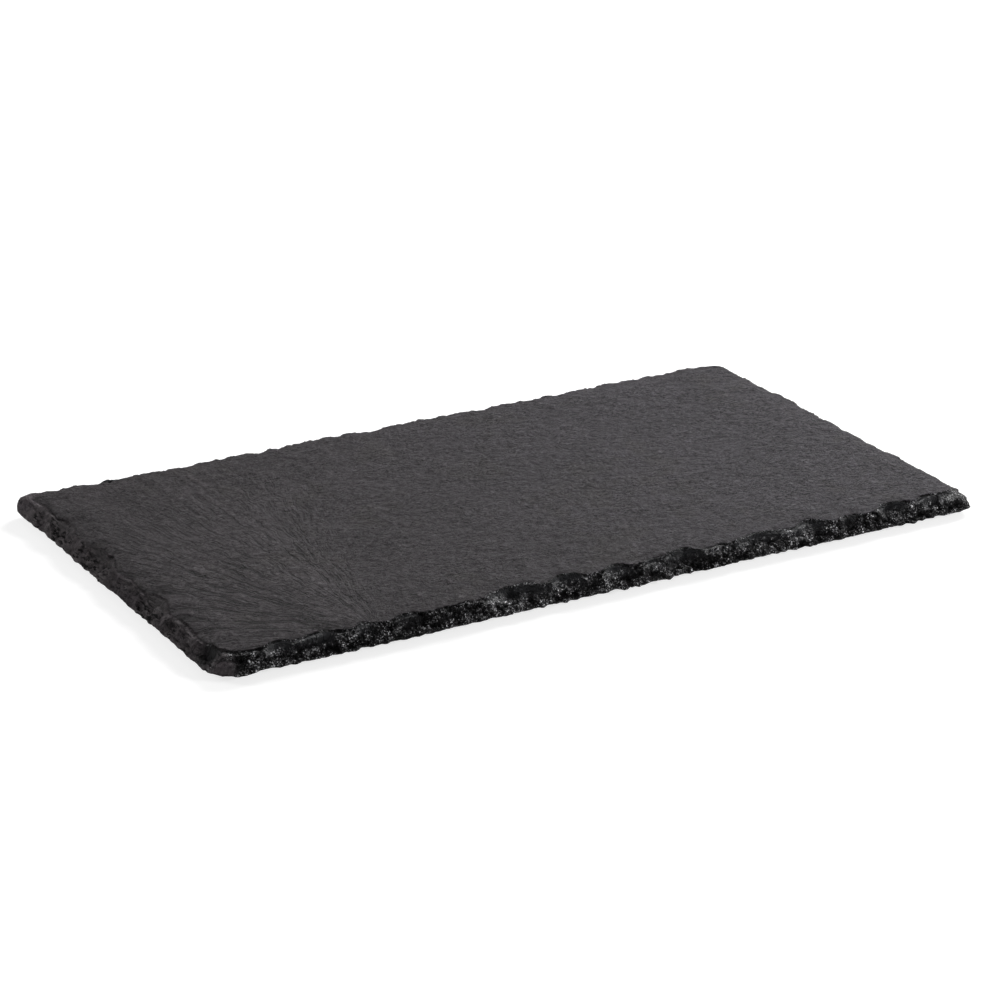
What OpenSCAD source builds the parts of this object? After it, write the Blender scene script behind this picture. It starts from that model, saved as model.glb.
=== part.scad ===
// Serving board of natural slate: one slab, split along its cleavage and dressed by hand round
// the edge, on four stick-on anti-slip feet. Millimetres, +Z up, the origin on the table under
// the middle of the board, X along the board and -Y towards the guest.

/* [Slab] */
// Length of the stone over its dressed edges
board_length = 325; // [240:1:420]
// Width of the stone over its dressed edges
board_width = 176; // [140:1:280]
// Thickness of the stone between the high spots of its two split faces
slab_thickness = 8.3; // [5:0.1:12]
// Radius to which the bluntest of the four corners is knocked back
corner_radius = 12; // [3:0.5:14]
// Depth of the shallow hollows that splitting leaves in both faces
cleft_relief = 0.45; // [0.1:0.05:0.8]
// Distance from one of those hollows to the next
cleft_spacing = 38; // [20:1:80]
// Number of the stone, which changes where the random flakes and hollows fall
stone_number = 3; // [1:1:50]

/* [Dressed edge] */
// Width of the dressed slope, from the arris of the top face out to the edge of the underside
dressed_width = 4.6; // [3:0.1:8]
// How much that width wanders along the edge
dressed_wander = 0.8; // [0:0.1:2]
// Distance over which it wanders
wander_spacing = 26; // [15:1:60]
// Depth to which a full flake scar bites into the top face behind the arris
scar_depth = 5; // [1:0.25:6]
// Half length of a full flake scar along the edge
scar_reach = 13; // [6:0.5:20]
// Depth of the small nicks that the hammer leaves all along the edge
nick_depth = 1.5; // [0.2:0.1:2]
// Distance from one nick to the next
nick_spacing = 7; // [4:0.5:12]
// How far the top face rounds down towards its arris
arris_fall = 0.2; // [0:0.05:1]

/* [Feet] */
// Diameter of a foot where it is stuck on
foot_diameter = 12; // [8:0.5:20]
// Height of a foot without its adhesive
foot_height = 2; // [1:0.1:4]
// Radius of the rounded rim of a foot's sole
foot_rim = 0.6; // [0.2:0.1:0.9]
// Distance from a foot's centre in from the two nearest edges of the board
foot_inset = 28; // [24:1:45]
// Thickness of the adhesive disc between a foot and the stone
adhesive_thickness = 0.3; // [0.1:0.05:0.8]
// How far the adhesive disc stays back from the foot's side
adhesive_setback = 0.4; // [0.1:0.1:1]

/* [Facets] */
// Size of a cell of the split faces
cell_size = 11; // [10:1:24]
// Length of a facet along the dressed edge
facet_length = 2.2; // [2:0.1:6]

/* [Hidden] */

slate_colour = "#454347";
rubber_colour = "#1d1d1f";
adhesive_colour = "#b9b4a8";

// Stone left between the deepest scar and the cells of the split face
scar_land = 2;
// Distance over which the underside's hollows fade in beside a foot
land_fade = 12;
// Taper of a foot, from where it is stuck on to its sole, on its radius
foot_taper = 0.5;
// Facets of a foot's circles, and of the arc of its rim
foot_fn = 64;
rim_facets = 6;

// Share of the corner radius at each corner: front left, front right, rear right, rear left
corner_shares = [1, 0.6, 0.6, 0.4];
// The dressed edge in section, from the arris of the top face to that of the underside, as three
// kinds of stretch that blend into each other: each point is [how far it stands out as a share of
// the dressed width, its height over the underside as a share of the stone's thickness]
crumbled_shares = [
    [0, 1], [0.18, 0.9], [0.36, 0.77], [0.52, 0.62], [0.69, 0.46], [0.85, 0.28], [1, 0.1], [0.9, 0]
];
layered_shares = [
    [0, 1], [0.1, 0.86], [0.33, 0.79], [0.45, 0.6], [0.69, 0.52], [0.82, 0.3], [1, 0.15], [0.9, 0]
];
scarred_shares = [
    [0, 1], [0.05, 0.85], [0.15, 0.69], [0.36, 0.57], [0.63, 0.49], [0.86, 0.33], [1, 0.12], [0.9, 0]
];
// Share of the thickness by which a point between the two arrises moves up and down
height_wander_share = 0.07;
// Share of a nick's depth that belongs to one layer only
layer_nick_share = 0.4;
// How far a nick lies from its even place, its half length and its least depth, as shares of the
// nick spacing and depth
nick_place_shares = [0.2, 0.8];
nick_length_shares = [0.55, 1.1];
nick_depth_shares = [0.25, 1];

// Flake scars: place along the edge as a share of its length, then length and depth as shares of
// a full scar. The front edge runs left to right, the left edge back to front
front_scar_shares = [
    [0.010, 0.50, 0.30], [0.080, 0.40, 0.40], [0.130, 0.55, 0.35], [0.186, 0.45, 0.28],
    [0.235, 0.50, 0.42], [0.365, 1.00, 1.00], [0.435, 0.55, 0.80], [0.500, 0.50, 0.62],
    [0.546, 0.35, 0.42], [0.586, 0.55, 0.64], [0.690, 0.80, 0.58], [0.765, 0.50, 0.84],
    [0.817, 0.50, 0.40], [0.880, 0.60, 0.80], [0.935, 0.60, 0.60], [0.985, 1.00, 0.95]
];
left_scar_shares = [
    [0.100, 0.50, 0.30], [0.227, 0.70, 0.45], [0.410, 1.00, 0.85],
    [0.540, 0.50, 0.40], [0.665, 0.80, 0.75], [0.800, 0.50, 0.25], [0.925, 0.55, 0.55]
];
// Least and greatest of a random scar's place in its stretch, and of its length and depth
random_place_shares = [0.2, 0.8];
random_scar_shares = [0.12, 0.5];

// The finer of the two sizes of hollow on a split face: how many fit into a large one, and its
// share of the relief
fine_hollows = 2.3;
fine_hollow_share = 0.35;

// Keys that keep the random features apart
top_key = 100;
under_key = 200;
fine_key = 40;
wander_key = 7;
kind_key = 9;
nick_key = 11;
layer_key = 50;
height_key = 70;
scar_keys = [20, 30, 40];

levels = len(crumbled_shares);
under_z = foot_height + adhesive_thickness;
top_z = under_z + slab_thickness;
// Width of the border that holds the dressed edge, outside the cells of the split faces
border = dressed_width + dressed_wander + scar_depth + nick_depth + scar_land;
half_board = [board_length, board_width] / 2;
half_cells = [half_board.x - border, half_board.y - border];
cells_long = max(2, round(2 * half_cells.x / cell_size));
cells_wide = max(2, round(2 * half_cells.y / cell_size));
cell = [2 * half_cells.x / cells_long, 2 * half_cells.y / cells_wide];
facets_per_cell = max(1, round(cell_size / facet_length));
facets_per_corner = round(sqrt(2) * border / facet_length);
foot_place = [half_board.x - foot_inset, half_board.y - foot_inset];
foot_signs = [[-1, -1], [1, -1], [-1, 1], [1, 1]];
foot_land = foot_diameter / 2 + norm(cell);

// Repeatable chance, from 0 to 1, for a pair of whole numbers
function chance(i, j) =
    let (v = sin(i * 127.1 + j * 311.7 + stone_number * 74.7) * 43758.5453)
    v - floor(v);
function mix(a, b, share) = a + (b - a) * share;
function between(shares, i, j) = mix(shares[0], shares[1], chance(i, j));
function clamp(v) = max(0, min(1, v));
function ease(share) = share * share * (3 - 2 * share);
function scaled(a, b) = [a.x * b.x, a.y * b.y];

// Smooth chance over a plane, and along the closed ring of the edge
function chance_at(p, key) =
    let (i = floor(p.x), j = floor(p.y), u = ease(p.x - i), v = ease(p.y - j))
    mix(
        mix(chance(i + key, j), chance(i + 1 + key, j), u),
        mix(chance(i + key, j + 1), chance(i + 1 + key, j + 1), u),
        v
    );
function chance_round(share, parts, key) =
    let (x = share * parts, i = floor(x))
    mix(chance(i % parts, key), chance((i + 1) % parts, key), ease(x - i));

// Nicks are shallow bites side by side, with a sharp cusp where two of them meet
function nick_at(share, key) =
    let (x = share * nicks, i = floor(x))
    max([
        0,
        for (k = [i - 1 : i + 1])
            let (
                n = (k + nicks) % nicks,
                away = (x - k - between(nick_place_shares, n, key)) / between(nick_length_shares, n, key + 1)
            )
            between(nick_depth_shares, n, key + 2) * (1 - away * away)
    ]);

// Stations go round the stone anticlockwise from the front left corner. Each is
// [point on the border of the cells, direction outwards, distance out to the edge, cell corner]
side_cells = [cells_long, cells_wide, cells_long, cells_wide];
side_starts = [[-1, -1], [1, -1], [1, 1], [-1, 1]];
side_steps = [[1, 0], [0, 1], [-1, 0], [0, -1]];
side_out = [[0, -1], [1, 0], [0, 1], [-1, 0]];
function side_corner(side) =
    scaled((side_starts[side] + [1, 1]) / 2, [cells_long, cells_wide]);
function side_stations(side) = [
    for (j = [0 : side_cells[side] * facets_per_cell])
        let (walked = j / facets_per_cell)
        [
            scaled(side_starts[side], half_cells) + scaled(side_steps[side], cell) * walked,
            side_out[side],
            border,
            side_corner(side) + side_steps[side] * round(walked)
        ]
];
// Distance from a corner of the cells to the edge, straight on beside the corner's arc
function corner_reach(angle, radius) =
    let (
        out = [cos(angle), sin(angle)],
        arc_middle = [1, 1] * (border - radius),
        along = out * arc_middle,
        arc_end = atan2(border - radius, border)
    )
    angle > arc_end && angle < 90 - arc_end
        ? along + sqrt(along * along - arc_middle * arc_middle + radius * radius)
        : border / max(out.x, out.y);
function corner_stations(side) = [
    let (next = (side + 1) % 4)
    for (j = [1 : facets_per_corner])
        let (angle = 90 * j / (facets_per_corner + 1))
        [
            scaled(side_starts[next], half_cells),
            side_out[side] * cos(angle) + side_out[next] * sin(angle),
            corner_reach(angle, corner_radius * corner_shares[next]),
            side_corner(next)
        ]
];
stations = [for (side = [0 : 3]) each concat(side_stations(side), corner_stations(side))];
count = len(stations);
perimeter = 2 * (board_length + board_width);
nicks = round(perimeter / nick_spacing);
wanders = round(perimeter / wander_spacing);

// Each scar is [middle on the edge, half length, depth]
function edge_scar(side, shares) = [
    scaled(side_starts[side] + side_steps[side] * 2 * shares[0], half_board),
    shares[1] * scar_reach,
    shares[2] * scar_depth
];
function random_scars(side, edge) =
    let (scars_here = round(edge / scar_reach))
    [
        for (i = [0 : scars_here - 1])
            edge_scar(side, [
                (i + between(random_place_shares, i, side + scar_keys[0])) / scars_here,
                between(random_scar_shares, i, side + scar_keys[1]),
                between(random_scar_shares, i, side + scar_keys[2])
            ])
    ];
scars = concat(
    [for (shares = front_scar_shares) edge_scar(0, shares)],
    random_scars(1, board_width),
    random_scars(2, board_length),
    [for (shares = left_scar_shares) edge_scar(3, shares)]
);
function scar_bite(p) = max([
    0,
    for (s = scars) let (away = norm(p - s[0]) / s[1]) s[2] * (1 - away * away)
]);

// Hollows of the two split faces, from 0 at the high spots to 1. The underside lies flat round
// its border and where a foot is stuck on
function hollow(p, key) = mix(
    chance_at(p / cleft_spacing, key),
    chance_at(p * fine_hollows / cleft_spacing, key + fine_key),
    fine_hollow_share
);
function foot_clearance(p) = min([for (s = foot_signs) norm(p - scaled(s, foot_place))]);
function border_clearance(p) = min(half_cells.x - abs(p.x), half_cells.y - abs(p.y));
function fade(distance) = ease(clamp(distance / land_fade));
function top_height(p) = top_z - cleft_relief * hollow(p, top_key);
function under_height(p) =
    under_z
    + cleft_relief * hollow(p, under_key) * fade(foot_clearance(p) - foot_land) * fade(border_clearance(p));

// A point of the dressed edge: where its section stands at a station, set back by the nicks
function edge_point(level, i) =
    let (
        s = stations[i],
        share = i / count,
        bite = scar_bite(s[0] + s[1] * s[2]),
        layering = ease(chance_round(share, wanders, kind_key)),
        unscarred = mix(crumbled_shares[level], layered_shares[level], layering),
        section = mix(unscarred, scarred_shares[level], clamp(bite / scar_depth)),
        wander = 2 * chance_round(share, wanders, wander_key) - 1,
        width = dressed_width + dressed_wander * wander + bite,
        nick = mix(nick_at(share, nick_key), nick_at(share, layer_key + level), layer_nick_share),
        p = s[0] + s[1] * (s[2] - width * (1 - section[0]) - nick_depth * nick),
        free = level > 0 && level < levels - 1 ? 1 : 0,
        rise = free * height_wander_share * (2 * chance_round(share, nicks, height_key + level) - 1)
    )
    [p.x, p.y, mix(under_z, top_height(p) - arris_fall, section[1] + rise)];

rough_edge = [for (level = [0 : levels - 1], i = [0 : count - 1]) edge_point(level, i)];
// The nicks leave the stone a little short, so it is stretched to its stated length and width
function reach_along(axis) =
    let (at = [for (p = rough_edge) p[axis]])
    [min(at), max(at)];
reached = [reach_along(0), reach_along(1)];
function stretched(v, axis) =
    (v - (reached[axis][0] + reached[axis][1]) / 2)
    * 2 * half_board[axis] / (reached[axis][1] - reached[axis][0]);
edge_points = [for (p = rough_edge) [stretched(p.x, 0), stretched(p.y, 1), p.z]];

cell_corners = [
    for (row = [0 : cells_wide], column = [0 : cells_long])
        scaled([column, row], cell) - half_cells
];
top_points = [for (p = cell_corners) [p.x, p.y, top_height(p)]];
under_points = [for (p = cell_corners) [p.x, p.y, under_height(p)]];

top_start = levels * count;
under_start = top_start + len(cell_corners);
function on_edge(level, i) = level * count + i % count;
function on_face(start, corner) = start + corner.y * (cells_long + 1) + corner.x;
function turned(faces) = [for (f = faces) [f[2], f[1], f[0]]];

// Triangles of the dressed edge, of the cells of a face, and of the border between the two
edge_faces = [
    for (level = [0 : levels - 2], i = [0 : count - 1])
        let (
            a = on_edge(level, i),
            b = on_edge(level, i + 1),
            c = on_edge(level + 1, i + 1),
            d = on_edge(level + 1, i)
        )
        each (level + i) % 2 == 0 ? [[a, c, d], [a, b, c]] : [[a, b, d], [b, c, d]]
];
function face_cells(start) = [
    for (x = [0 : cells_long - 1], y = [0 : cells_wide - 1])
        let (
            a = on_face(start, [x, y]),
            b = on_face(start, [x + 1, y]),
            c = on_face(start, [x + 1, y + 1]),
            d = on_face(start, [x, y + 1])
        )
        each (x + y) % 2 == 0 ? [[a, c, b], [a, d, c]] : [[a, d, b], [b, d, c]]
];
function border_faces(start, level) = [
    for (i = [0 : count - 1])
        let (
            here = on_face(start, stations[i][3]),
            next = on_face(start, stations[(i + 1) % count][3]),
            beside = [on_edge(level, i), here, on_edge(level, i + 1)]
        )
        each here == next ? [beside] : [beside, [on_edge(level, i + 1), here, next]]
];

module slate_slab() {
    color(slate_colour)
        polyhedron(
            points = concat(edge_points, top_points, under_points),
            faces = concat(
                edge_faces,
                face_cells(top_start),
                border_faces(top_start, 0),
                turned(face_cells(under_start)),
                turned(border_faces(under_start, levels - 1))
            )
        );
}

// A moulded foot: a low drum that tapers to a sole with a rounded rim
module foot(signs) {
    base_radius = foot_diameter / 2;
    sole_radius = base_radius - foot_taper;
    rim = [
        for (i = [0 : rim_facets])
            let (angle = 90 * i / rim_facets - 90)
            [sole_radius - foot_rim + foot_rim * cos(angle), foot_rim + foot_rim * sin(angle)]
    ];
    place = scaled(signs, foot_place);
    color(rubber_colour)
        translate([place.x, place.y, 0])
            rotate_extrude($fn = foot_fn)
                polygon(concat([[0, 0]], rim, [[base_radius, foot_height], [0, foot_height]]));
}

module adhesive(signs) {
    place = scaled(signs, foot_place);
    color(adhesive_colour)
        translate([place.x, place.y, foot_height])
            cylinder(h = adhesive_thickness, r = foot_diameter / 2 - adhesive_setback, $fn = foot_fn);
}

slate_slab();
foot(foot_signs[0]);  // foot_front_left
foot(foot_signs[1]);  // foot_front_right
foot(foot_signs[2]);  // foot_rear_left
foot(foot_signs[3]);  // foot_rear_right
adhesive(foot_signs[0]);  // adhesive_front_left
adhesive(foot_signs[1]);  // adhesive_front_right
adhesive(foot_signs[2]);  // adhesive_rear_left
adhesive(foot_signs[3]);  // adhesive_rear_right
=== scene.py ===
"""A slate serving board: one riven slab with a hand-dressed edge, on four stick-on rubber feet."""

from math import atan2, cos, floor, log2, pi, radians, sin

import bpy
from mathutils import Matrix, Vector, noise
from mathutils.bvhtree import BVHTree


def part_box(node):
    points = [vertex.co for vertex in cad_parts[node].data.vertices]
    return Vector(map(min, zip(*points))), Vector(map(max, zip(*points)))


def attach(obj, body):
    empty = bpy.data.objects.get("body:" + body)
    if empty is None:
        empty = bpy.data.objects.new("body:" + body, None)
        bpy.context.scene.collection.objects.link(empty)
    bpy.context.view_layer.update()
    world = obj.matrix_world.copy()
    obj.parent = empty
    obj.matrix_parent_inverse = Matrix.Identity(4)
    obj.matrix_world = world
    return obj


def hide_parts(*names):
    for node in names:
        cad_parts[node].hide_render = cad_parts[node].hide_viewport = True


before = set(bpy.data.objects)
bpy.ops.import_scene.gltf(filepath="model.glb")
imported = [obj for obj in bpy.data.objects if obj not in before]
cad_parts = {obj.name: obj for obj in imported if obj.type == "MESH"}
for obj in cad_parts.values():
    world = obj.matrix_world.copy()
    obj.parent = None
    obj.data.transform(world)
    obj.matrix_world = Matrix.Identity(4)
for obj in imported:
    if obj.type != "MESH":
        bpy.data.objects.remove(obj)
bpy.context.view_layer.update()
bpy.ops.object.select_all(action="DESELECT")

# The camera stands a good metre from the board, a little above it and left of its middle, with
# a short telephoto lens. It is held nearly level: the board's long edges run off to the right.
camera_target = Vector((0.003963, 0.006154, 0.0034))
camera_distance = 1.23202
camera_azimuth = radians(-31.03)
camera_elevation = radians(21.98)
camera_roll = radians(0.894)
camera_film, camera_lens = 36, 115.68
camera_back = Vector((
    sin(camera_azimuth) * cos(camera_elevation),
    -cos(camera_azimuth) * cos(camera_elevation),
    sin(camera_elevation),
))
bpy.ops.object.camera_add(location=camera_target + camera_back * camera_distance)
camera = bpy.context.object
camera.name = "camera"
camera.data.sensor_width = camera_film
camera.data.lens = camera_lens
level_turn = camera_back.to_track_quat("Z", "Y").to_matrix()
camera.rotation_euler = (level_turn @ Matrix.Rotation(camera_roll, 3, "Z")).to_euler()
bpy.context.scene.camera = camera
bpy.context.scene.view_settings.view_transform = "Standard"

# The table is a plain white sheet. It is lit as the board is, so it keeps the board's shadow,
# and to the eye it glows a little, so that it reads as the white of a studio.
table_size = 60
table_tone = (0.42, 0.42, 0.42, 1)
table_glow = 0.74


def new_finish(name):
    """A new material and its shader."""
    made = bpy.data.materials.new(name)
    made.use_nodes = True
    return made, made.node_tree.nodes["Principled BSDF"]


def feed(material, node, feeds):
    """Feeds a node's sockets with numbers, colours or the outputs of other nodes."""
    for socket, value in feeds.items():
        if isinstance(value, bpy.types.NodeSocket):
            material.node_tree.links.new(value, node.inputs[socket])
        else:
            node.inputs[socket].default_value = value


def add(material, kind, feeds=None, **settings):
    """Adds a node to a material, sets it and feeds it."""
    made = material.node_tree.nodes.new("ShaderNode" + kind)
    for name, value in settings.items():
        setattr(made, name, value)
    feed(material, made, feeds or {})
    return made


def reckon(material, operation, a, b=0.0):
    """A sum on numbers that vary over the surface."""
    return add(material, "Math", {0: a, 1: b}, operation=operation).outputs[0]


bpy.ops.mesh.primitive_plane_add(size=table_size, location=(0, 0, 0))
table = bpy.context.object
table.name = "studio_table"
table_white, paper = new_finish("studio_white")
ray = add(table_white, "LightPath").outputs
seen_or_mirrored = reckon(table_white, "ADD", ray["Is Camera Ray"], ray["Is Glossy Ray"])
seen_at_all = reckon(table_white, "ADD", seen_or_mirrored, ray["Is Transmission Ray"])
feed(table_white, paper, {
    "Base Color": table_tone,
    "Roughness": 0.9,
    "Specular IOR Level": 0,
    "Emission Color": (1, 1, 1, 1),
    "Emission Strength": reckon(table_white, "MULTIPLY", seen_at_all, table_glow),
})
table.data.materials.append(table_white)

# The room is white all round, and three lamps hang in it: one broad lamp over the board's far
# right corner, a small one in front on the right that picks out the chips of the front edge,
# and a weak one beyond the far left corner, for the left edge.
room_light = 0.2
room = bpy.data.worlds.new("studio_room")
room.use_nodes = True
bpy.context.scene.world = room
room.node_tree.nodes["Background"].inputs["Color"].default_value = (1, 1, 1, 1)
room.node_tree.nodes["Background"].inputs["Strength"].default_value = room_light


def hang_lamp(name, place, length, depth, power):
    """Hangs a flat lamp that points at the middle of the board."""
    bpy.ops.object.light_add(type="AREA", location=place)
    lamp = bpy.context.object
    lamp.name = name
    lamp.data.shape = "RECTANGLE"
    lamp.data.size = length
    lamp.data.size_y = depth
    lamp.data.energy = power
    lamp.rotation_euler = lamp.location.to_track_quat("Z", "Y").to_euler()


hang_lamp("studio_lamp", place=(0.9, 0.52, 0.64), length=0.7, depth=0.5, power=23.3)
hang_lamp("studio_fill", place=(0.75, -1.0, 0.55), length=0.14, depth=0.14, power=7)
hang_lamp("studio_side", place=(-0.9, 0.6, 0.45), length=0.3, depth=0.3, power=4.5)

# The stone is one slab of natural slate, split from its block along the cleavage, which leaves
# both faces riven. Its edge is dressed by hand: hammer blows break flakes off it all round, so
# that it slopes out from the top face in scars and ledges. Worked out here in millimetres.
mm = 0.001
slab_low, slab_high = (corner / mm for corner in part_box("slate_slab"))
cad_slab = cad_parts["slate_slab"].data
rough_stone = BVHTree.FromPolygons(
    [v.co / mm for v in cad_slab.vertices], [tuple(p.vertices) for p in cad_slab.polygons]
)
half_long, half_wide = slab_high.x, slab_high.y
under_z, top_z = slab_low.z, slab_high.z

# The top face has a square mesh. Round it runs a ring of columns, two to each square, and each
# column comes down the dressed edge from the arris to the lip, and under it to the underside.
squares_long, squares_wide = 288, 152
ring_squares = 2 * (squares_long + squares_wide)
ring_columns = 2 * ring_squares
slope_rows, under_rows = 17, 3
rows = slope_rows + under_rows + 1
arris_line = 6
flat_long, flat_wide = half_long - arris_line, half_wide - arris_line

# A column's section is sighted from a pivot inside the stone, from over the arris down to under
# the lip, in degrees above level. The arris and the underside's edge are where a line that leans
# this much, in radians, touches the section.
core_line = 16
pivot_out, pivot_up = 2, 1.5
sight_lines = 110
first_sight, sight_sweep = 82, 128
arris_lean, under_lean = 0.44, 0.4
least_length = 1e-6


def ring_place(column):
    """The place of a column on a rectangle that reaches 1 each way, anticlockwise from the front left."""
    step = column / 2
    for corner, run, squares in (
        ((-1, -1), (1, 0), squares_long), ((1, -1), (0, 1), squares_wide),
        ((1, 1), (-1, 0), squares_long), ((-1, 1), (0, -1), squares_wide),
    ):
        if step <= squares:
            share = 2 * step / squares
            return corner[0] + run[0] * share, corner[1] + run[1] * share
        step -= squares


def along_line(points, lengths):
    """Points at these lengths along a line of points."""
    found, walked, n = [], 0, 0
    for length in lengths:
        while n < len(points) - 2 and walked + (points[n + 1] - points[n]).length < length:
            walked += (points[n + 1] - points[n]).length
            n += 1
        leg = points[n + 1] - points[n]
        found.append(points[n] + leg * min(1, (length - walked) / max(leg.length, least_length)))
    return found


def line_length(points):
    """The length of a line of points."""
    return sum((b - a).length for a, b in zip(points, points[1:]))


def section_at(core, out):
    """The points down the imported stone's edge, as (out, up), on the line that runs out from a core."""
    pivot = core + out * pivot_out + Vector((0, 0, under_z + pivot_up))
    seen = []
    for n in range(sight_lines):
        angle = radians(first_sight - sight_sweep * n / (sight_lines - 1))
        hit = rough_stone.ray_cast(pivot, out * cos(angle) + Vector((0, 0, sin(angle))))
        if hit[0] is not None:
            seen.append(Vector(((hit[0] - core).dot(out), hit[0].z)))
    arris = max(
        range(len(seen)), key=lambda n: seen[n].y * cos(arris_lean) + seen[n].x * sin(arris_lean)
    )
    lip = max(range(arris + 1, len(seen)), key=lambda n: seen[n].x)
    low = max(range(lip, len(seen)), key=lambda n: seen[n].x * sin(under_lean) - seen[n].y * cos(under_lean))
    slope, undercut = seen[arris:lip + 1], seen[lip:max(low, lip + 1) + 1]
    slope_length, under_length = line_length(slope), line_length(undercut)
    points = along_line(slope, [slope_length * n / slope_rows for n in range(slope_rows + 1)])
    points += along_line(undercut, [under_length * n / under_rows for n in range(1, under_rows + 1)])
    return points


sharp_columns = []
for column in range(ring_columns):
    across, up = ring_place(column)
    on_arris = Vector((across * flat_long, up * flat_wide, 0))
    core = Vector((
        max(core_line - half_long, min(half_long - core_line, on_arris.x)),
        max(core_line - half_wide, min(half_wide - core_line, on_arris.y)),
        0,
    ))
    out = (on_arris - core).normalized()
    sharp_columns.append((core, out, section_at(core, out)))


def clamped(value):
    """The value, kept from 0 to 1."""
    return max(0, min(1, value))


def eased(value):
    """Runs from 0 to 1 as the value does, with a gentle start and end."""
    value = clamped(value)
    return value * value * (3 - 2 * value)


def on_long_edge(out):
    """1 on the long edges and 0 on the short ones, which run into each other at the corners."""
    return eased(abs(out.y) * 1.6 - 0.3)


# On the short edges the hammer fell less often: the scars there run into each other softly.
calm_window, most_calm = 7, 0.8
columns = []
for column, (core, out, points) in enumerate(sharp_columns):
    calm = most_calm * (1 - on_long_edge(out))
    if calm:
        near = [
            sharp_columns[(column + n) % ring_columns][2] for n in range(-calm_window, calm_window + 1)
        ]
        points = [
            point.lerp(sum((other[row] for other in near), Vector((0, 0))) / len(near), calm)
            for row, point in enumerate(points)
        ]
    columns.append((core, out, points))

# Broken stone is made of chance shapes: bowls, lumps, soft swells and layers of even thickness.
cell_reach = 0.8
noise_gain = 1.6
layer_thickness, layer_reach, layer_swing, layer_sway = 0.95, 5, 34, 0.7


def from_cell(place, wide, tall):
    """How far a place is from the middle of its own grain, from 0 to about 1 where grains meet."""
    cell = Vector((place.x / wide, place.y / wide, place.z / tall))
    return noise.voronoi(cell)[0][0] / cell_reach


def bowls(place, wide, tall):
    """Hollows side by side, 1 deep in the middle, with a sharp ridge where two of them meet."""
    return max(0, 1 - from_cell(place, wide, tall) ** 2)


def lumps(place, wide, tall):
    """Lumps side by side, with a notch 1 deep where two of them meet."""
    return min(1, from_cell(place, wide, tall) ** 2)


def drift(place, size, key):
    """Smooth chance from about -1 to 1 over that many millimetres. Each key gives another run of it."""
    return noise_gain * noise.noise(Vector((place.x / size + key, place.y / size, place.z / size)))


def broken_layer(place):
    """How far the layer at this place has broken back: the layers break off at other depths."""
    level = place.z / layer_thickness + layer_sway * drift(Vector((place.x, place.y, 0)), layer_swing, 3)
    here = Vector((place.x, place.y, 31.7 * floor(level)))
    return clamped(0.5 + 0.9 * drift(here, layer_reach, 8))


# The riven top face has ridges that fan out from where the split began, just in front of the
# left part of the front edge. They start a little way off from there, fade with distance and
# stay on the left of the board. All over it are shallow swells, and ripples that lie at a slant.
plume_focus = Vector((-100, -94, 0))
plume_start, first_octave, plume_grain, plume_run = 6, 22, 6.5, 30
plume_end, plume_fade, plume_hole, plume_hole_fade = 175, 125, 8, 12
plume_lean, plume_lean_fade = 1.15, 0.35
plume_depth, swell_depth, ripple_depth = 0.16, 0.11, 0.5
swell_size, ripple_size, ripple_stretch = 3.2, 4.2, 1.6
ripple_turn = radians(31)


def plume(x, y):
    """Ridges that fan out: each time they have spread to twice the spacing, new ones start between."""
    away = Vector((x, y, 0)) - plume_focus
    radius = max(away.length, plume_start)
    turn = atan2(away.y, away.x)
    octave = log2(radius / first_octave)
    near = floor(octave)
    blend = eased(octave - near)
    total = 0
    for step, share in ((near, 1 - blend), (near + 1, blend)):
        fine = plume_grain * 2 ** step
        ridge = Vector((turn * fine + 17 * step, radius / plume_run, 3 + 9 * step))
        total += share * noise.noise(ridge)
    return total * noise_gain


def riven_drop(x, y):
    """How far the riven top face lies under its high spots at a place, in detail."""
    place = Vector((x, y, 0))
    away = (place - plume_focus).length
    lean = atan2(y - plume_focus.y, x - plume_focus.x)
    in_plume = eased((plume_end - away) / plume_fade) * eased((away - plume_hole) / plume_hole_fade)
    in_plume *= eased((lean - plume_lean) / plume_lean_fade)
    drop = plume_depth * in_plume * (0.5 + 0.5 * plume(x, y))
    drop += swell_depth * (0.5 + 0.5 * drift(place, swell_size, 60)) * (1 - 0.5 * in_plume)
    slanted = Matrix.Rotation(-ripple_turn, 3, "Z") @ place
    ripple = drift(Vector((slanted.x / ripple_stretch, slanted.y, 0)), ripple_size, 30)
    drop += ripple_depth * (0.3 + 0.5 * ripple) * (1 - 0.6 * in_plume)
    return drop


# Beside the arris thin layers have flaked off the face, in ragged steps. The arris sinks with
# the face over the first rows of the slope, and over some more of them on the short edges.
end_flakes, side_flakes = (6, 0.3), (2.5, 0.2)
rim_rows, short_rim_rows = 5, 5


def flaked_layers(place, away, reach, depth):
    """How deep thin layers have flaked off the face, this far away from the arris."""
    worn = away / reach + 1.3 * drift(place, 7, 80)
    return depth * (eased((1 - worn) * 3) + eased((0.35 - worn) * 3))


def face_drop(place, end_away, side_away):
    """How far the face lies under the CAD's high spots, this far from the short and long edges."""
    drop = riven_drop(place.x, place.y)
    return drop + flaked_layers(place, end_away, *end_flakes) + flaked_layers(place, side_away, *side_flakes)


# Along the back the top layers have chipped off the arris in short steps.
chip_depth, chip_levels, chip_rows = 0.95, 3, 4
chip_reach, chip_reach_sway, chip_step = 2.2, 1.8, 1.2
back_edge = 0.9


def chipped(place):
    """How deep the top layers have chipped off the back arris at a place along it."""
    along = Vector((place.x, 0, 0))
    level = clamped(0.42 + 0.5 * drift(along, 8, 120) + 0.35 * drift(along, 3, 130))
    return chip_depth * floor(chip_levels * level) / chip_levels


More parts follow.
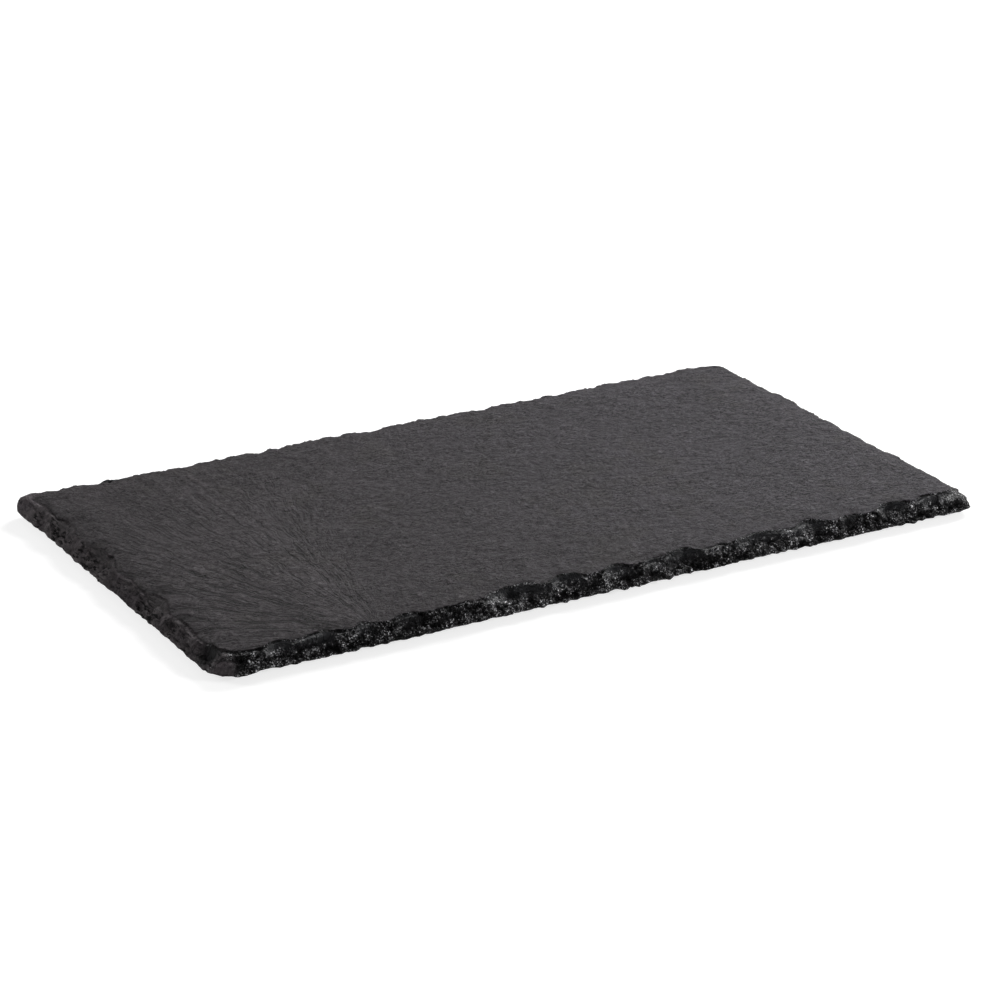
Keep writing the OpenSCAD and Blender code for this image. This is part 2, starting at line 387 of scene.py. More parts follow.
# On the short edges the arris is worn to a soft shoulder, and here and there a smooth spur
# of stone was left between two blows. A spur's colour is painted lighter: painted light on a
# steep face that the lamps hardly reach.
shoulder_height, shoulder_scar = 0.95, 0.55
shoulder_reach, shoulder_rows, shoulder_fade = 7, 6, 14
spur_size, spur_fade = 7, 6
shoulders = []

# Where a flake scar bites into the arris, the upper slope is a smooth ledge.
usual_arris = core_line - arris_line + 1.4
full_bite, long_edge_bite = 4, 1.4

# Three corners are blunt and smooth, as the stone broke there along old joints: where each is,
# how far it reaches, how far it swells, and how much painted light lightens its colour, as these
# steep corners get little lamp light. One deep scoop is beside the front one, darkened with painted shade.
blunt_corners = [
    (Vector((3 - half_long, half_wide - 3, 0)), 14, 1.7, 1.45),
    (Vector((4 - half_long, 4 - half_wide, 0)), 5, 0.5, 1.45),
    (Vector((half_long - 6, half_wide - 6, 0)), 11, 0.0, 0.0),
]
scoop_place, scoop_reach, scoop_depth = Vector((5 - half_long, 15 - half_wide, 0)), 5.5, 1.6


def close_to(place, middle, reach):
    """1 round a point and 0 away from it."""
    return eased(1.3 - (place - middle).xy.length / reach)


def down_slope(row):
    """0 at the arris and from the lip on, and 1 halfway down the slope."""
    return sin(pi * clamped(row / slope_rows))


# The blows take off bowls, lumps, nicks and layers: how deep each goes, and how wide and tall it
# is. Their mean is taken off again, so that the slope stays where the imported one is. The lip has
# scallops and notches, the short edges have a ragged arris, and flakes are off the underside.
bowl_depth, bowl_size = 0.8, (7, 4.5)
lump_depth, lump_size = 1.0, (3.3, 2.4)
nick_depth, nick_size = 0.5, (1.5, 1.2)
layer_depth, long_edge_layer = 0.95, 0.5
mean_cut = 1.05
scallop_depth, scallop_size = 0.4, (6.5, 1)
notch_depth, notch_size = 0.9, (3, 1)
ragged_depth, ragged_size, ragged_rows = 0.7, 2.6, 5
under_size = (4.2, 1)

# Rows of the slope over which the blows change: they are lighter towards the lip, and on the
# short edges lighter at the arris and a little deeper below it.
light_rows, arris_rows = 5, 6
deep_from, deep_rows = 5, 4
lip_from, lip_rows = 3, 4


def hammered(place, row, long_edge, crumb, smooth_ledge, lump, nick):
    """How deep the hammer has cut into the slope at a place."""
    cut = bowl_depth * bowls(place, *bowl_size) * (0.4 + 0.6 * crumb)
    cut += (lump_depth * lump + nick_depth * nick) * crumb
    layer = layer_depth - long_edge_layer * long_edge
    cut += layer * broken_layer(place) * (1 - 0.6 * smooth_ledge)
    cut = (cut - mean_cut) * (1 - 0.45 * eased((row - slope_rows + light_rows) / light_rows))
    lighter = 0.7 * eased(1 - row / arris_rows) - 0.35 * eased((row - deep_from) / deep_rows)
    cut *= 1 - (1 - long_edge) * lighter
    along = Vector((place.x, place.y, 0))
    at_lip = eased((row - slope_rows + lip_from) / lip_rows)
    cut += at_lip * (0.4 + 0.6 * long_edge) * (scallop_depth * lumps(along, *scallop_size) - 0.25)
    notches = notch_depth * lumps(along + Vector((70, 0, 0)), *notch_size) - 0.5
    cut += at_lip * long_edge * notches
    cut += (1 - long_edge) * eased(1 - row / ragged_rows) * ragged_depth * drift(place, ragged_size, 77)
    return cut


# The finish has to know how a point was broken: how far it is dressed, whether the break is
# glassy or a smooth flake bed, and whether it stands out, which gives painted shade in hollows and
# painted glints on crests. The lit mark is painted light and painted shade that scales the colour.
marks = {"dressed": [], "glassy": [], "flaked": [], "crest": [], "lit": []}
riven_mark = {"dressed": 0, "glassy": 0, "flaked": 0, "crest": 0, "lit": 1}


def mark_point(**shares):
    """Notes the marks of the next point."""
    for name, share in shares.items():
        marks[name].append(share)


# Each point of a column moves into the stone by its cut, square to the section there, and stays
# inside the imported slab.
ring = []
for core, out, points in columns:
    long_edge = on_long_edge(out)
    bite = max(0, usual_arris - points[0].x)
    scarred = eased(bite / (full_bite - long_edge_bite * long_edge))
    from_corner = max(0, flat_wide - abs(core.y))
    shoulder = (1 - long_edge) * (shoulder_height - shoulder_scar * scarred)
    shoulder *= eased(from_corner / shoulder_fade)
    shoulders.append(shoulder)
    spur_here = eased(0.75 + 1.1 * drift(core + out * points[0].x, spur_size, 90))
    spur = (1 - long_edge) * (1 - scarred) * spur_here * eased(from_corner / spur_fade)
    for row, point in enumerate(points):
        place = core + out * point.x + Vector((0, 0, point.y))
        before, after = points[max(row - 1, 0)], points[min(row + 1, rows - 1)]
        run = (after - before).normalized()
        inwards = Vector((run.y, -run.x)) if row else Vector((-1, 0))
        depth_share = clamped((top_z - place.z) / (top_z - under_z))
        smooth_ledge = scarred * (1 - eased(2.2 * depth_share - 0.4))
        crumb = (0.75 + 0.25 * long_edge) * (1 - 0.85 * smooth_ledge)
        crumb += (0.9 - crumb) * eased(1 - row / 2) * long_edge
        lump = lumps(place + Vector((50, 0, 0)), *lump_size)
        nick = lumps(place + Vector((0, 50, 0)), *nick_size)
        cut = hammered(place, row, long_edge, crumb, smooth_ledge, lump, nick)
        cut *= 1 - 0.8 * spur
        blunt, painted_light = 0, 0
        for corner, reach, swell, painted_light_share in blunt_corners:
            here = close_to(place, corner, reach)
            cut = cut * (1 - 0.7 * here) - here * swell * down_slope(row)
            blunt = max(blunt, here)
            painted_light = max(painted_light, painted_light_share * here)
        scoop = close_to(place, scoop_place, scoop_reach) * (1 - blunt)
        cut += scoop_depth * scoop * down_slope(row)
        moved = point + inwards * cut
        if row == rows - 1:
            moved = Vector((point.x - cut, point.y))
        if row > slope_rows:
            flake = lumps(Vector((place.x + 20, place.y, 0)), *under_size)
            moved.y += (0.15 + 0.2 * long_edge) * flake * (row - slope_rows) / under_rows
        sunk = max(0, 1 - row / (rim_rows + short_rim_rows * (1 - long_edge)))
        if sunk:
            end_away = max(0, flat_long - abs(place.x))
            side_away = max(0, flat_wide - abs(place.y))
            moved.y -= face_drop(place, end_away, side_away) * sunk
        moved.y -= shoulder * max(0, 1 - row / shoulder_rows) ** 2
        if out.y > back_edge:
            moved.y -= chipped(place) * max(0, 1 - row / chip_rows)
        moved.y = max(under_z, min(top_z, moved.y))
        moved = core + out * moved.x + Vector((0, 0, moved.y))
        moved.x = max(-half_long, min(half_long, moved.x))
        moved.y = max(-half_wide, min(half_wide, moved.y))
        ring.append(moved)
        soft_rows = (1 - long_edge) * (1 - scarred)
        # The lit mark is painted light and painted shade: lighter on blunt corners and spurs, darker in the
        # scoop.
        mark_point(
            dressed=eased(row / (1.5 + soft_rows)) * (1 - 0.8 * max(blunt, spur)),
            glassy=max(long_edge * (1 - blunt), 0.8 * scoop),
            flaked=max(smooth_ledge * eased((row - 0.5) / 2), scoop * eased((row - 1) / 3)),
            crest=max(1 - 0.6 * lump - 0.4 * nick, 0.7 * blunt),
            lit=1 - 0.6 * scoop + (painted_light + 0.85 * spur * (1 - blunt)) * eased(row / 3),
        )


def ring_point(column, row):
    """The number of a point of the ring."""
    return (column % ring_columns) * rows + row


# Near the corners the arris is worn round.
corner_window, corner_zone, corner_fade, worn_rows = 12, 26, 12, 8
sharp_ring = list(ring)
for corner_step in (0, squares_long, squares_long + squares_wide, 2 * squares_long + squares_wide):
    for away in range(-corner_zone, corner_zone + 1):
        column = 2 * corner_step + away
        for row in range(worn_rows):
            near = [
                sharp_ring[ring_point(column + n, row)] for n in range(-corner_window, corner_window + 1)
            ]
            middle = sum(near, Vector((0, 0, 0))) / len(near)
            share = eased((corner_zone - abs(away)) / corner_fade) * (1 - row / worn_rows)
            ring[ring_point(column, row)] = ring[ring_point(column, row)].lerp(middle, share)

# The squares of the top face lie evenly, and near the arris they are drawn out or in to meet it.
draw_length = 28
sight_clearance = 5


def even_place(i, j):
    """Where a square's corner would lie on a face with straight sides."""
    return Vector((
        flat_long * (2 * i / squares_long - 1), flat_wide * (2 * j / squares_wide - 1), 0
    ))


def arris_at(i, j):
    """The ring's column at a square's corner on the rim."""
    if j == 0:
        return 2 * i
    if i == squares_long:
        return 2 * (squares_long + j)
    if j == squares_wide:
        return 2 * (2 * squares_long + squares_wide - i)
    return 2 * (ring_squares - j)


def arris_move(i, j):
    """How far the arris lies from the straight side."""
    return ring[ring_point(arris_at(i, j), 0)] - even_place(i, j)


def rim_shares(step, squares, half_size):
    """How strongly the rims at both ends of a row of squares draw on the corner at this step."""
    from_start = 2 * half_size * step / squares
    from_end = 2 * half_size * (squares - step) / squares
    return (
        (0, (1 - clamped(from_start / draw_length)) ** 2),
        (squares, (1 - clamped(from_end / draw_length)) ** 2),
    )


def sighted_height(place, face_z, side):
    """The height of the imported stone's face, sighted from above (side 1) or from below (-1)."""
    start = Vector((place.x, place.y, face_z + side * sight_clearance))
    hit = rough_stone.ray_cast(start, Vector((0, 0, -side)))
    return hit[0].z if hit[0] is not None else face_z


top_places = {}
for i in range(1, squares_long):
    for j in range(1, squares_wide):
        shares_x = rim_shares(i, squares_long, flat_long)
        shares_y = rim_shares(j, squares_wide, flat_wide)
        move = Vector((0, 0, 0))
        for rim, share in shares_x:
            if share:
                move += share * arris_move(rim, j)
        for rim, share in shares_y:
            if share:
                move += share * arris_move(i, rim)
        for rim_x, share_x in shares_x:
            for rim_y, share_y in shares_y:
                if share_x and share_y:
                    move -= share_x * share_y * arris_move(rim_x, rim_y)
        place = even_place(i, j) + move
        place.z = sighted_height(place, top_z, 1)
        top_places[i, j] = place

# The CAD's facets are smoothed out of the face, and the riven detail is laid on it.
smoothing_reaches = (4, 3)
height = {key: place.z for key, place in top_places.items()}
for reach in smoothing_reaches:
    for step_x, step_y in ((1, 0), (0, 1)):
        smoothed = {}
        for (i, j), z in height.items():
            total, count = 0, 0
            for n in range(-reach, reach + 1):
                near = height.get((i + n * step_x, j + n * step_y))
                if near is not None:
                    total += near
                    count += 1
            smoothed[i, j] = total / count
        height = smoothed
places = list(ring)
top_index = {}
for (i, j), place in top_places.items():
    place.z = height[i, j]
    end_away = min(i, squares_long - i) * 2 * flat_long / squares_long
    side_away = min(j, squares_wide - j) * 2 * flat_wide / squares_wide
    place.z = min(top_z, place.z - face_drop(place, end_away, side_away))
    shoulder = shoulders[arris_at(0 if 2 * i < squares_long else squares_long, j)]
    place.z -= shoulder * max(0, 1 - end_away / shoulder_reach) ** 2
    if 2 * j > squares_wide:
        reach = chip_reach + chip_reach_sway * drift(place, 5, 140)
        place.z -= chipped(place) * eased((reach - side_away) / chip_step)
    top_index[i, j] = len(places)
    places.append(place)
    mark_point(**riven_mark)

# The underside is riven too, and flatter near its edge and where the feet are stuck on.
coarse, under_margin = 2, 2
under_index = {}
for i in range(coarse, squares_long, coarse):
    for j in range(coarse, squares_wide, coarse):
        place = Vector((
            (half_long - under_margin) * (2 * i / squares_long - 1),
            (half_wide - under_margin) * (2 * j / squares_wide - 1),
            0,
        ))
        place.z = sighted_height(place, under_z, -1)
        under_index[i, j] = len(places)
        places.append(place)
        mark_point(**riven_mark)


def rim_path(i, j, next_i, next_j):
    """The ring's columns strictly between two corners of a square, where its side is on the rim."""
    on_rim = (
        (j == next_j and j in (0, squares_wide)) or (i == next_i and i in (0, squares_long))
    )
    if not on_rim:
        return []
    first, last = arris_at(i, j), arris_at(next_i, next_j)
    if last == 0 and first > 2:
        last = ring_columns
    return list(range(first + 1, last))


def corner_point(corner, index, row):
    """The number of the point at a square's corner: the face's own, or the ring's at the rim."""
    if corner in index:
        return index[corner]
    return ring_point(arris_at(*corner), row)


def square_loops(index, step, row):
    """The squares of a face, which take in the points of one of the ring's rows at the rim."""
    loops = []
    for i in range(0, squares_long, step):
        for j in range(0, squares_wide, step):
            loop = []
            corners = [(i, j), (i + step, j), (i + step, j + step), (i, j + step)]
            for n, corner in enumerate(corners):
                loop.append(corner_point(corner, index, row))
                between = rim_path(*corner, *corners[(n + 1) % 4])
                loop += [ring_point(column, row) for column in between]
            loops.append(tuple(loop))
    return loops


faces = []
for column in range(ring_columns):
    for row in range(rows - 1):
        faces.append((
            ring_point(column, row), ring_point(column, row + 1),
            ring_point(column + 1, row + 1), ring_point(column + 1, row),
        ))
faces += square_loops(top_index, 1, 0)
faces += [tuple(reversed(loop)) for loop in square_loops(under_index, coarse, rows - 1)]

smooth_angle = radians(24)
stone_mesh = bpy.data.meshes.new("riven_slab")
stone_mesh.from_pydata([place * mm for place in places], [], faces)
for name, shares in marks.items():
    mark = stone_mesh.attributes.new(name, "FLOAT", "POINT")
    mark.data.foreach_set("value", shares)
stone = bpy.data.objects.new("riven_slab", stone_mesh)
bpy.context.scene.collection.objects.link(stone)
bpy.context.view_layer.objects.active = stone
stone.select_set(True)
bpy.ops.object.shade_smooth_by_angle(angle=smooth_angle)
stone.select_set(False)
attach(stone, "root")
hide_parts("slate_slab")

# A split face is a warm dark grey, cooler and a little lighter to the right, where the lighter part
# is painted light that rises towards the lamp, with faint stains and dark flecks. On
# the short edges the fresh break is paler and dusty, and on the long ones it is glassy black.
face_left, face_right = (0.0478, 0.0413, 0.0453, 1), (0.0492, 0.0437, 0.0513, 1)
stain_brown, fleck_grey = (0.0450, 0.0398, 0.0390, 1), (0.018, 0.017, 0.018, 1)
dust_pale, dust_grey = (0.103, 0.093, 0.096, 1), (0.052, 0.047, 0.049, 1)
crack_black = (0.003, 0.003, 0.003, 1)
glass_black, glass_grey = (0.0022, 0.0022, 0.0025, 1), (0.027, 0.026, 0.028, 1)
# Colours of the painted glints on the long edges.
glint_stroke_grey, glint_grey, glint_white = (0.12, 0.118, 0.122, 1), (0.28, 0.28, 0.29, 1), (0.8, 0.8, 0.82, 1)
glassy_bed_dark, glassy_bed_light = (0.004, 0.004, 0.0045, 1), (0.0185, 0.019, 0.021, 1)
dusty_bed_dark, dusty_bed_light = (0.027, 0.0245, 0.0255, 1), (0.054, 0.049, 0.051, 1)


def in_millimetres(material):
    """The place on the piece, in millimetres."""
    on_piece = add(material, "TexCoord").outputs["Object"]
    return add(material, "VectorMath", {0: on_piece, 1: (1000, 1000, 1000)}, operation="MULTIPLY").outputs[0]


def product(material, a, *others):
    """Multiplies numbers that vary over the surface."""
    for b in others:
        a = reckon(material, "MULTIPLY", a, b)
    return a


def total_of(material, a, *others):
    """Adds up numbers that vary over the surface."""
    for b in others:
        a = reckon(material, "ADD", a, b)
    return a


def less(material, a, b):
    """Takes one number that varies over the surface from another."""
    return reckon(material, "SUBTRACT", a, b)


def spread(material, value, low, high, to_low=0.0, to_high=1.0):
    """Draws a value's range out to another, easing in and out."""
    return add(
        material, "MapRange",
        {"Value": value, "From Min": low, "From Max": high, "To Min": to_low, "To Max": to_high},
        interpolation_type="SMOOTHSTEP",
    ).outputs[0]


def grain(material, where, scale, detail, roughness=0.55):
    """Even noise, from 0 to 1, with this many features to a unit of length."""
    return add(
        material, "TexNoise",
        {"Vector": where, "Scale": scale, "Detail": detail, "Roughness": roughness},
    ).outputs[0]


def blended(material, share, a, b):
    """Mixes two numbers that vary over the surface."""
    return add(material, "Mix", {0: share, 2: a, 3: b}, data_type="FLOAT").outputs[0]


def coloured(material, share, a, b):
    """Mixes two colours."""
    return add(material, "Mix", {0: share, 6: a, 7: b}, data_type="RGBA").outputs[2]


def shaded(material, colour, share):
    """Makes a colour lighter or darker by a share that varies over the surface."""
    return add(material, "VectorMath", {0: colour, "Scale": share}, operation="SCALE").outputs[0]


def marked(material, name):
    """One of the marks on the stone's points."""
    return add(material, "Attribute", attribute_name=name).outputs["Fac"]


# The split ran out from one point: its ridges fan out from there, and further off they fade
# into an even stipple of small pits. The underside has no fan. A pair of sizes is where
# something starts and where it is full, in millimetres or as an angle.
fan_counts = (21, 42, 84)
fan_joins = ((25, 60), (60, 130))
fan_start, fan_end = (8, 18), (215, 70)
fan_side = (radians(66), radians(84))
fan_level = (4, 6)
fan_run, fan_sway = 14, 6


def fan_of_ridges(slate, in_mm, height_here):
    """The ridges, from 0 to 1, and how far a place lies in their fan."""
    from_focus = add(slate, "VectorMath", {0: in_mm, 1: tuple(-plume_focus)}, operation="ADD").outputs[0]
    flat = add(slate, "VectorMath", {0: from_focus, 1: (1, 1, 0)}, operation="MULTIPLY").outputs[0]
    parts = add(slate, "SeparateXYZ", {0: flat})
    radius = add(slate, "VectorMath", {0: flat}, operation="LENGTH").outputs["Value"]
    turn = reckon(slate, "ARCTAN2", parts.outputs[1], parts.outputs[0])
    sway = product(slate, less(slate, grain(slate, in_mm, 0.08, 2), 0.5), fan_sway)
    bent_turn = total_of(slate, turn, reckon(slate, "DIVIDE", sway, radius))
    outwards = reckon(slate, "DIVIDE", radius, fan_run)

    def ridges_at(per_radian, key):
        across = product(slate, bent_turn, per_radian)
        where = add(slate, "CombineXYZ", {0: across, 1: outwards, 2: key}).outputs[0]
        return grain(slate, where, 1, 4, 0.62)

    near, middle, far = (ridges_at(count, key) for count, key in zip(fan_counts, (1.5, 7.5, 4.5)))
    ridges = blended(slate, spread(slate, radius, *fan_joins[0]), near, middle)
    ridges = blended(slate, spread(slate, radius, *fan_joins[1]), ridges, far)
    in_fan = product(
        slate, spread(slate, radius, *fan_end), spread(slate, radius, *fan_start),
        spread(slate, turn, *fan_side), spread(slate, height_here, *fan_level),
    )
    return ridges, in_fan


def riven_face(slate, in_mm, place):
    """The height, colour and roughness of a split face."""
    ridges, in_fan = fan_of_ridges(slate, in_mm, place.outputs[2])
    grooves = spread(slate, ridges, 0.39, 0.53)
    stipple = spread(slate, grain(slate, in_mm, 0.66, 6, 0.78), 0.32, 0.62)
    slanted = add(
        slate, "Mapping", {0: in_mm, "Rotation": (0, 0, ripple_turn), "Scale": (0.8, 1.35, 1)},
        vector_type="POINT",
    ).outputs[0]
    swell = spread(slate, grain(slate, slanted, 0.33, 4, 0.6), 0.36, 0.58)
    pits = spread(slate, grain(slate, in_mm, 0.85, 3, 0.6), 0.37, 0.45)
    height = total_of(
        slate,
        product(slate, grooves, product(slate, in_fan, 2.6)),
        product(slate, stipple, less(slate, 1.15, product(slate, in_fan, 0.6))),
        product(slate, swell, less(slate, 1.5, product(slate, in_fan, 1.2))),
        pits,
    )
    rougher_here = spread(slate, grain(slate, in_mm, 0.07, 3), 0.38, 0.6)
    height = product(slate, height, spread(slate, rougher_here, 0, 1, 0.7, 1.35))

    # Cooler to the right, and a little lighter there as painted light.
    to_right = spread(slate, place.outputs[0], -130, 130)
    colour = coloured(slate, to_right, face_left, face_right)
    cloud = spread(slate, grain(slate, in_mm, 0.02, 4, 0.6), 0.3, 0.7)
    colour = shaded(slate, colour, spread(slate, cloud, 0, 1, 0.94, 1.06))
    stain = spread(slate, grain(slate, in_mm, 0.045, 3, 0.6), 0.52, 0.68, 0, 0.45)
    colour = coloured(slate, stain, colour, stain_brown)
    fleck = spread(slate, grain(slate, in_mm, 1.1, 3, 0.7), 0.5, 0.8, 0, 0.35)
    colour = coloured(slate, fleck, colour, fleck_grey)
    # Painted shade: the colour is darker in pits, in the low parts of the stipple and swells, and in the
    # fan's grooves.
    painted_pit_shade = product(
        slate, spread(slate, stipple, 0, 1, 0.7, 1.18), spread(slate, swell, 0, 1, 0.8, 1.08),
        spread(slate, pits, 0, 1, 0.46, 1.07),
    )
    painted_pit_shade = blended(slate, spread(slate, rougher_here, 0, 1, 0.6, 1), 0.93, painted_pit_shade)
    painted_groove_shade = product(slate, painted_pit_shade, spread(slate, grooves, 0, 1, 0.46, 1.14))
    painted_shade_off_fan = product(slate, painted_pit_shade, 1.09)
    colour = shaded(slate, colour, blended(slate, in_fan, painted_shade_off_fan, painted_groove_shade))
    return height, colour, spread(slate, stipple, 0, 1, 0.92, 0.8)


def dressed_edge(slate, in_mm, place):
    """The height, colour and roughness of an edge as the hammer left it."""
    glassy_here, flaked_here = marked(slate, "glassy"), marked(slate, "flaked")

    # The edge is crumbly, with chips of every size down to dust. The short edges have cracks
    # and layers too. A flake scar's bed is smooth, with faint curved waves.
    chips = add(slate, "TexVoronoi", {"Vector": in_mm, "Scale": 0.8, "Detail": 2.0, "Roughness": 0.7})
    crumbs = grain(slate, in_mm, 1.4, 3, 0.65)
    glassy_height = total_of(
        slate, product(slate, chips.outputs["Distance"], 0.8), product(slate, crumbs, 0.6),
    )
    along_layers = add(slate, "VectorMath", {0: in_mm, 1: (1.2, 0.4, 1.6)}, operation="MULTIPLY").outputs[0]
    cracks = spread(slate, grain(slate, along_layers, 0.6, 3, 0.6), 0.48, 0.43)
    cracks = product(slate, cracks, spread(slate, grain(slate, in_mm, 0.12, 2), 0.4, 0.5))
    wander = product(slate, grain(slate, in_mm, 0.16, 3), 4)
    level = total_of(slate, product(slate, place.outputs[2], 0.8), wander)
    layers = product(slate, reckon(slate, "FRACT", level), 0.5)
    dusty_height = less(slate, product(slate, glassy_height, 0.5), product(slate, cracks, 0.8))
    dusty_height = total_of(slate, dusty_height, layers)
    waves = product(slate, grain(slate, in_mm, 0.13, 1), 16)
    waves = spread(slate, reckon(slate, "PINGPONG", waves, 0.5), 0.04, 0.2)
    scar_height = total_of(slate, product(slate, crumbs, 0.15), product(slate, waves, 0.35))
    height = blended(slate, glassy_here, dusty_height, glassy_height)
    height = blended(slate, flaked_here, height, scar_height)

    # Each chip of a short edge is painted lighter or darker, as if it faced the light at its own angle,
    # the hollows between lumps get painted shade, and cracks are black.
    fleck = grain(slate, in_mm, 1.1, 3, 0.7)
    pieces = add(slate, "TexVoronoi", {"Vector": in_mm, "Scale": 0.36}).outputs["Color"]
    painted_facet_light = add(slate, "SeparateColor", {0: pieces}).outputs[0]
    crest_light_hollow_shade = spread(slate, marked(slate, "crest"), 0.2, 0.65)
    dusty = coloured(slate, spread(slate, fleck, 0.35, 0.65), dust_pale, dust_grey)
    dusty = shaded(slate, dusty, spread(slate, painted_facet_light, 0, 1, 0.75, 1.25))
    dusty = shaded(slate, dusty, spread(slate, crest_light_hollow_shade, 0, 1, 0.8, 1.15))
    dusty = coloured(slate, cracks, dusty, crack_black)

    # The long edges broke glassy and black. Chips show grey. The crests get painted glints, as
    # specks and short curved strokes, and each chip, the hollows and broad patches get painted light
    # and painted shade.
    patches = spread(slate, grain(slate, in_mm, 0.5, 3, 0.65), 0.44, 0.62)
    glassy = coloured(slate, patches, glass_black, glass_grey)
    contour = reckon(slate, "ABSOLUTE", less(slate, grain(slate, in_mm, 0.55, 1), 0.5))
    glint_stroke = spread(slate, contour, 0.035, 0.012)
    glint_stroke = product(slate, glint_stroke, spread(slate, grain(slate, in_mm, 0.6, 2), 0.46, 0.56))
    glassy = coloured(slate, glint_stroke, glassy, glint_stroke_grey)
    often = product(slate, crest_light_hollow_shade, 0.1)
    fine_glints = total_of(slate, grain(slate, in_mm, 1.5, 1.5, 0.6), often)
    broad_glints = total_of(slate, grain(slate, in_mm, 1.05, 1.5, 0.6), often)
    glassy = coloured(slate, spread(slate, fine_glints, 0.66, 0.72), glassy, glint_grey)
    glassy = coloured(slate, spread(slate, broad_glints, 0.73, 0.78), glassy, glint_white)
    glassy = shaded(slate, glassy, product(
        slate, spread(slate, painted_facet_light, 0, 1, 0.4, 1.5), spread(slate, crest_light_hollow_shade, 0, 1, 0.3, 1),
        spread(slate, grain(slate, in_mm, 0.17, 2), 0.42, 0.56, 0.4, 1.2),
    ))

    colour = coloured(slate, glassy_here, dusty, glassy)
    glassy_bed = coloured(slate, waves, glassy_bed_dark, glassy_bed_light)
    dusty_bed = coloured(slate, waves, dusty_bed_dark, dusty_bed_light)
    colour = coloured(slate, flaked_here, colour, coloured(slate, glassy_here, dusty_bed, glassy_bed))
    rough = blended(slate, flaked_here, blended(slate, glassy_here, 0.78, 0.26), 0.6)
    return height, colour, rough


def slate_finish(name, shine):
    """Slate as it shows on a riven face and on a dressed edge, which run into each other."""
    slate, surface = new_finish(name)
    in_mm = in_millimetres(slate)
    place = add(slate, "SeparateXYZ", {0: in_mm})
    face_height, face_colour, face_rough = riven_face(slate, in_mm, place)
    edge_height, edge_colour, edge_rough = dressed_edge(slate, in_mm, place)
    dressed_here = marked(slate, "dressed")
    relief = blended(slate, dressed_here, face_height, edge_height)
    sharp = spread(slate, dressed_here, 0.05, 0.55)
    onto_edge = blended(slate, marked(slate, "glassy"), dressed_here, sharp)
    colour = coloured(slate, onto_edge, face_colour, edge_colour)
    bump = add(slate, "Bump", {"Strength": 1.0, "Distance": mm, "Height": relief})
    # The colour is scaled by the lit mark: painted light and painted shade.
    feed(slate, surface, {
        "Base Color": shaded(slate, colour, marked(slate, "lit")),
        "Roughness": blended(slate, dressed_here, face_rough, edge_rough),
        "Specular IOR Level": shine,
        "Normal": bump.outputs[0],
    })
    return slate


face_shine, edge_shine = 0.22, 0.1
stone.data.materials.append(slate_finish("riven_slate", face_shine))
stone.data.materials.append(slate_finish("dressed_slate", edge_shine))
for face in stone.data.polygons:
    face.material_index = 1 if face.index < ring_columns * (rows - 1) else 0

# The feet are moulded rubber drums that taper to a rounded rim, with a shallow cup in the sole
# that grips the table and a low nub in it where the rubber was let in. One is modelled, and the
# other three are copies of it. They are stuck on near the corners.
foot_names = ["foot_front_left", "foot_front_right", "foot_rear_left", "foot_rear_right"]
foot_low, foot_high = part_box(foot_names[0])
foot_radius = (foot_high.x - foot_low.x) / 2
foot_height = foot_high.z - foot_low.z
foot_middle = (foot_low + foot_high) / 2
foot_sides = 96
foot_taper = 0.5 * mm
rim_radius, rim_segments = 0.6 * mm, 6
top_rim, top_segments = 0.15 * mm, 2
cup_setback = 1.1 * mm
cup_wall = 0.35 * mm
cup_depth = 0.2 * mm
nub_radius = 0.7 * mm
nub_slope = nub_radius / 3
nub_height = 0.1 * mm
sole_radius = foot_radius - foot_taper - rim_radius
level_slack, middle_slack = 0.01 * mm, 0.1 * mm
facing_down = -0.99
foot_smooth_angle = radians(35)
bpy.ops.mesh.primitive_cone_add(
    vertices=foot_sides, radius1=foot_radius - foot_taper, radius2=foot_radius, depth=foot_height,
    end_fill_type="NGON", location=foot_middle,
)
foot = bpy.context.object
bpy.ops.object.transform_apply(location=True, rotation=False, scale=False)


def round_edge(piece, height, radius, segments):
    """Rounds the edge that runs round a piece at a height."""
    bpy.ops.object.mode_set(mode="EDIT")
    bpy.ops.mesh.select_all(action="DESELECT")
    bpy.ops.object.mode_set(mode="OBJECT")
    for edge in piece.data.edges:
        ends = [piece.data.vertices[n].co.z for n in edge.vertices]
        edge.select = all(abs(z - height) < level_slack for z in ends)
    bpy.ops.object.mode_set(mode="EDIT")
    bpy.ops.mesh.select_mode(type="EDGE")
    bpy.ops.mesh.bevel(offset=radius, segments=segments, affect="EDGES")
    bpy.ops.object.mode_set(mode="OBJECT")


round_edge(foot, foot_low.z, rim_radius, rim_segments)
round_edge(foot, foot_high.z, top_rim, top_segments)
bpy.ops.object.mode_set(mode="EDIT")
bpy.ops.mesh.select_mode(type="FACE")
bpy.ops.mesh.select_all(action="DESELECT")
bpy.ops.object.mode_set(mode="OBJECT")
for face in foot.data.polygons:
    in_middle = (face.center - foot_middle).xy.length < middle_slack
    face.select = face.normal.z < facing_down and in_middle
bpy.ops.object.mode_set(mode="EDIT")
bpy.ops.mesh.inset(thickness=cup_setback, depth=0)
bpy.ops.mesh.inset(thickness=cup_wall, depth=-cup_depth)
bpy.ops.mesh.inset(thickness=sole_radius - cup_setback - cup_wall - nub_radius, depth=0)
bpy.ops.mesh.inset(thickness=nub_slope, depth=nub_height)
bpy.ops.mesh.poke()
bpy.ops.object.mode_set(mode="OBJECT")
bpy.ops.object.shade_smooth_by_angle(angle=foot_smooth_angle)

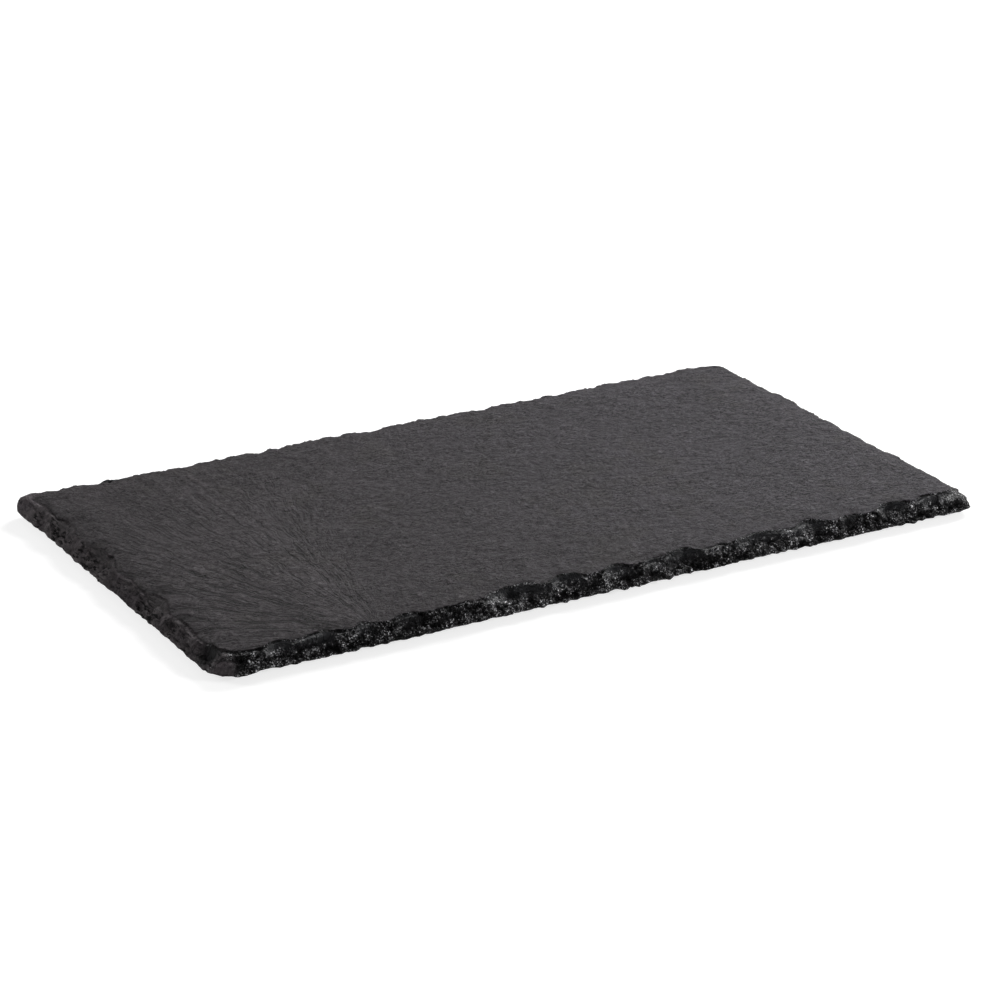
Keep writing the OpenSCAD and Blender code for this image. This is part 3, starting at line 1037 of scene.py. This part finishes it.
# The rubber is black and matte, with a faint grey bloom and a fine skin from the mould.
rubber, rubber_surface = new_finish("moulded_rubber")
rubber_black, bloom_grey = (0.012, 0.012, 0.013, 1), (0.022, 0.022, 0.023, 1)
skin_depth = 0.05 * mm
in_mm = in_millimetres(rubber)
bloom = spread(rubber, grain(rubber, in_mm, 0.35, 3), 0.35, 0.7)
skin = grain(rubber, in_mm, 6, 3, 0.6)
skin_bump = add(rubber, "Bump", {"Strength": 0.5, "Distance": skin_depth, "Height": skin})
feed(rubber, rubber_surface, {
    "Base Color": coloured(rubber, bloom, rubber_black, bloom_grey),
    "Roughness": spread(rubber, skin, 0.3, 0.7, 0.62, 0.8),
    "Specular IOR Level": 0.4,
    "Normal": skin_bump.outputs[0],
})
foot.data.materials.append(rubber)
feet = [foot]
for name in foot_names[1:]:
    other_low, other_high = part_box(name)
    bpy.ops.object.select_all(action="DESELECT")
    foot.select_set(True)
    bpy.context.view_layer.objects.active = foot
    bpy.ops.object.duplicate(linked=False)
    copy = bpy.context.object
    copy.location = (other_low + other_high) / 2 - foot_middle
    bpy.ops.object.transform_apply(location=True, rotation=False, scale=False)
    feet.append(copy)
for piece, name in zip(feet, foot_names):
    piece.name = "moulded_" + name
    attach(piece, "root")
    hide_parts(name)
bpy.ops.object.select_all(action="DESELECT")

# Between each foot and the stone is a thin disc of pale acrylic foam tape, cut a little smaller
# than the foot and sticky on both faces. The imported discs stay, and take this finish.
tape, tape_surface = new_finish("acrylic_tape")
tape_dark, tape_light = (0.44, 0.42, 0.36, 1), (0.54, 0.52, 0.46, 1)
cell_depth, tape_glow_depth = 0.03 * mm, 0.3 * mm
in_mm = in_millimetres(tape)
cells = grain(tape, in_mm, 3, 3, 0.6)
cell_bump = add(tape, "Bump", {"Strength": 0.4, "Distance": cell_depth, "Height": cells})
feed(tape, tape_surface, {
    "Base Color": coloured(tape, spread(tape, cells, 0.35, 0.65), tape_dark, tape_light),
    "Roughness": spread(tape, cells, 0.3, 0.7, 0.35, 0.5),
    "Subsurface Weight": 0.2,
    "Subsurface Scale": tape_glow_depth,
    "Normal": cell_bump.outputs[0],
})
for name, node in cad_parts.items():
    if name.startswith("adhesive"):
        node.data.materials.clear()
        node.data.materials.append(tape)
